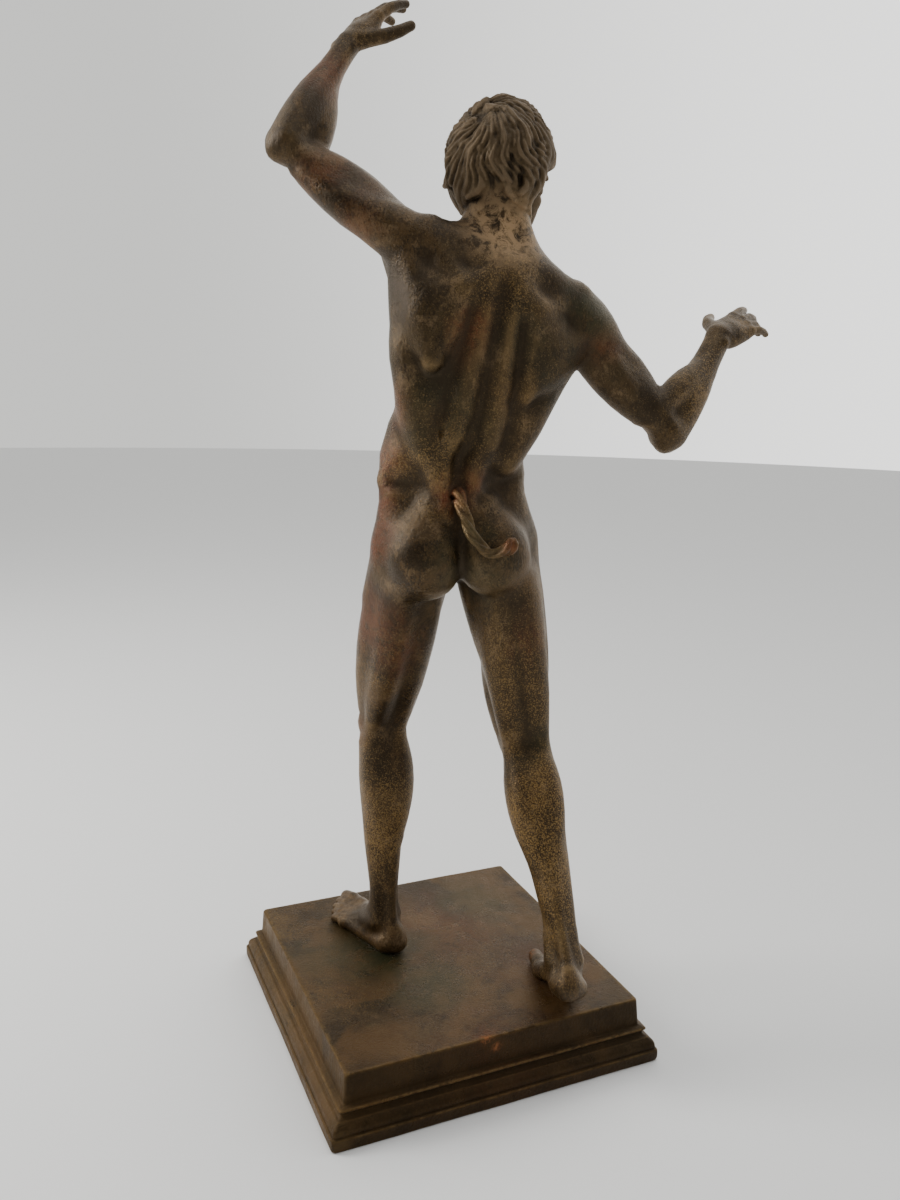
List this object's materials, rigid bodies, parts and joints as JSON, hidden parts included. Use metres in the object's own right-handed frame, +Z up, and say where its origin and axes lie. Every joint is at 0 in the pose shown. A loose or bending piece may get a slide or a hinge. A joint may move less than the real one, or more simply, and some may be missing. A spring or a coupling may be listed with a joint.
{
  "type": "faun statue",
  "caption": "Cast figure of a young horned faun in a dancing step, with a short curly tail, standing on a square moulded plinth.",
  "frame": {"origin": "centre of the plinth's underside", "axes": "+Z up along the standing figure, -Y the way the figure steps and faces, +X to the figure's left"},
  "size_m": [0.4001, 0.2734, 0.7921],
  "materials": {
    "figure_bronze": "mottled brown patina with ochre speckle, satin sheen",
    "plinth_bronze": "worn brown and ochre patina with dark green patches"
  },
  "bodies": {
    "root": {"faun_figure": "figure_bronze", "plinth": "plinth_bronze"}
  },
  "joints": []
}
